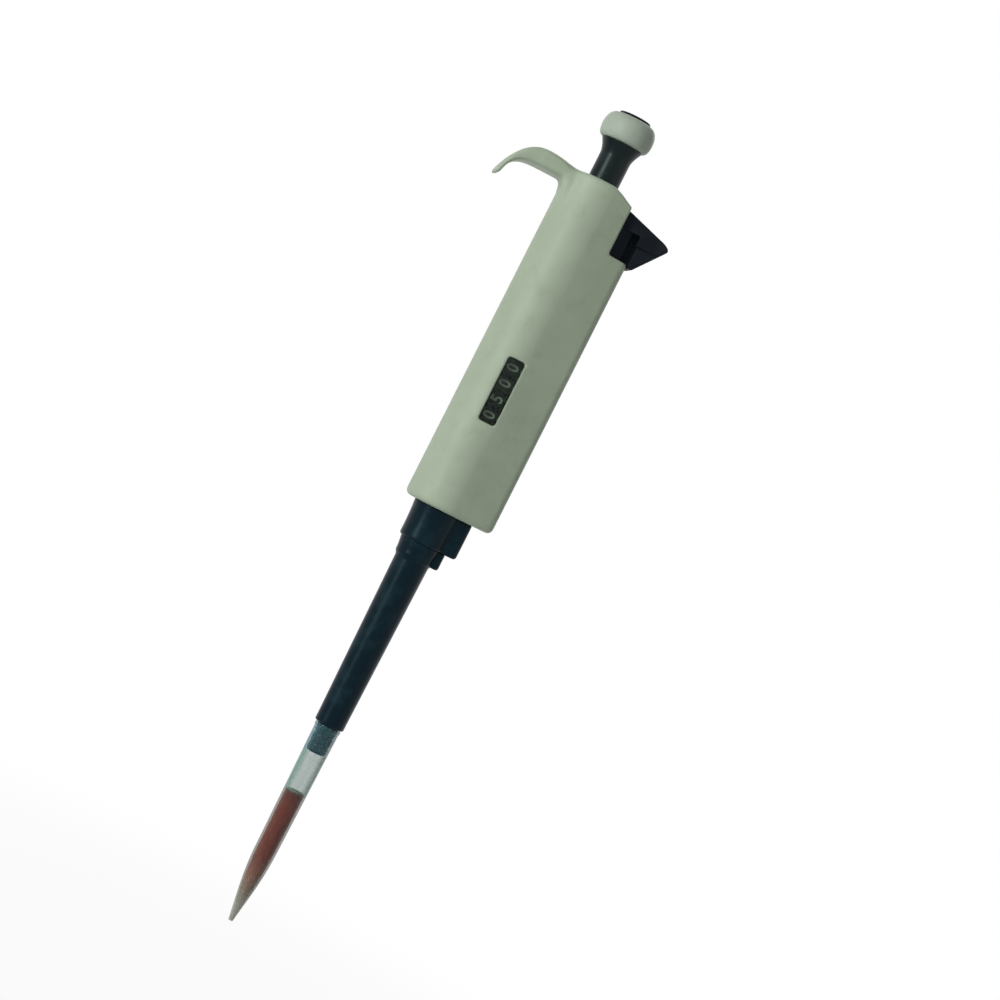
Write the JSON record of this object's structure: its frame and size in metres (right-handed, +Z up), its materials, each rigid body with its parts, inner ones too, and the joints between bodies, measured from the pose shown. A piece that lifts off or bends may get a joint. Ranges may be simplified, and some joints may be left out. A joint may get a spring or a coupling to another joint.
{
  "type": "adjustable pipette",
  "caption": "Hand-held adjustable pipette with thumb button, finger hook, counter window, sprung tip ejector and a fitted translucent tip holding a dark red sample.",
  "frame": {"origin": "middle of the flat rest under the finger hook", "axes": "+Z up along the piston's axis from tip to button, +X from the hook towards the ejector lever, -Y out of the counter window"},
  "size_m": [0.0633, 0.0248, 0.2977],
  "materials": {
    "cream_plastic": "satin",
    "button_plastic": "satin",
    "black_plastic": "satin",
    "window_plastic": "clear",
    "wheel_plastic": "satin",
    "white_plastic": "satin",
    "steel": "turned",
    "spring_steel": "drawn wire",
    "brass": "turned",
    "rubber": "matt",
    "tip_plastic": "translucent",
    "sample": "wet"
  },
  "bodies": {
    "handle": {"handle_body": "cream_plastic", "rear_cover": "cream_plastic", "cover_screw_lower": "steel", "cover_screw_upper": "steel", "counter_window": "window_plastic", "top_guide_bush": "black_plastic", "spring_housing": "white_plastic", "housing_cap": "brass", "counter_frame": "white_plastic", "pinion_axle": "steel", "tip_cone": "black_plastic", "cone_o_ring": "rubber", "coupling_nut": "white_plastic", "main_spring": "spring_steel", "blow_out_spring": "spring_steel", "ejector_spring": "spring_steel"},
    "first_stop": {"first_stop_disc": "steel"},
    "piston_carriage": {"piston_carrier": "brass", "piston": "steel", "piston_seal": "white_plastic", "piston_o_ring": "rubber"},
    "button_stop": {"stop_collar": "white_plastic"},
    "knob": {"push_button": "button_plastic", "button_cap": "black_plastic", "plunger_sleeve": "black_plastic", "control_rod": "steel"},
    "spindle": {"counter_drive_sleeve": "white_plastic", "ones_wheel": "wheel_plastic"},
    "tens": {"tens_wheel": "wheel_plastic"},
    "hundreds": {"hundreds_wheel": "wheel_plastic"},
    "thousands": {"thousands_wheel": "wheel_plastic"},
    "tens_carry": {"carry_pinion_tens": "brass"},
    "hundreds_carry": {"carry_pinion_hundreds": "brass"},
    "thousands_carry": {"carry_pinion_thousands": "brass"},
    "ejector": {"ejector_lever": "black_plastic", "ejector_rod": "steel", "ejector_collar": "black_plastic", "ejector_sleeve": "black_plastic"},
    "tip": {"pipette_tip": "tip_plastic", "sample_liquid": "sample"}
  },
  "joints": [
    {"name": "blow_out", "type": "slide", "parent": "handle", "child": "first_stop", "axis": [0, 0, 1], "range_m": [-0.003, 0], "stiffness_N_per_m": 3000, "springref_m": 0.0027, "deforming": ["blow_out_spring", "main_spring"]},
    {"name": "plunger_stroke", "type": "slide", "parent": "first_stop", "child": "piston_carriage", "axis": [0, 0, 1], "range_m": [-0.01, 0], "stiffness_N_per_m": 350, "springref_m": 0.01, "deforming": ["main_spring"]},
    {"name": "button_rise", "type": "slide", "parent": "piston_carriage", "child": "button_stop", "axis": [0, 0, 1], "range_m": [0, 0.01], "deforming": ["main_spring"]},
    {"name": "volume_setting", "type": "hinge", "parent": "button_stop", "child": "knob", "pos_m": [0.018, 0, 0], "axis": [0, 0, 1], "range_deg": [0, 3600]},
    {"name": "spindle_turn", "type": "hinge", "parent": "handle", "child": "spindle", "pos_m": [0.018, 0, -0.07], "axis": [0, 0, 1], "range_deg": [0, 3600]},
    {"name": "tens_turn", "type": "hinge", "parent": "handle", "child": "tens", "pos_m": [0.018, 0, -0.07], "axis": [0, 0, 1], "range_deg": [0, 1800]},
    {"name": "hundreds_turn", "type": "hinge", "parent": "handle", "child": "hundreds", "pos_m": [0.018, 0, -0.07], "axis": [0, 0, 1], "range_deg": [0, 180]},
    {"name": "thousands_turn", "type": "hinge", "parent": "handle", "child": "thousands", "pos_m": [0.018, 0, -0.07], "axis": [0, 0, 1], "range_deg": [0, 36]},
    {"name": "tens_carry_turn", "type": "hinge", "parent": "handle", "child": "tens_carry", "pos_m": [0.02744, 0, -0.07], "axis": [0, 0, 1], "range_deg": [-4500, 0]},
    {"name": "hundreds_carry_turn", "type": "hinge", "parent": "handle", "child": "hundreds_carry", "pos_m": [0.02744, 0, -0.07], "axis": [0, 0, 1], "range_deg": [-450, 0]},
    {"name": "thousands_carry_turn", "type": "hinge", "parent": "handle", "child": "thousands_carry", "pos_m": [0.02744, 0, -0.07], "axis": [0, 0, 1], "range_deg": [-90, 0]},
    {"name": "ejector_stroke", "type": "slide", "parent": "handle", "child": "ejector", "axis": [0, 0, 1], "range_m": [-0.01, 0], "stiffness_N_per_m": 250, "springref_m": 0.008, "deforming": ["ejector_spring"]},
    {"name": "tip_release", "type": "slide", "parent": "ejector", "child": "tip", "axis": [0, 0, 1], "range_m": [-0.012, 0]}
  ],
  "couplings": [
    {"joint": "button_rise", "follows": "volume_setting", "m_per_rad": 0.00015915},
    {"joint": "spindle_turn", "follows": "volume_setting", "ratio": 1},
    {"joint": "tens_turn", "follows": "volume_setting", "ratio": 0.5},
    {"joint": "hundreds_turn", "follows": "volume_setting", "ratio": 0.05},
    {"joint": "thousands_turn", "follows": "volume_setting", "ratio": 0.01},
    {"joint": "tens_carry_turn", "follows": "volume_setting", "ratio": -1.25},
    {"joint": "hundreds_carry_turn", "follows": "volume_setting", "ratio": -0.125},
    {"joint": "thousands_carry_turn", "follows": "volume_setting", "ratio": -0.025}
  ]
}
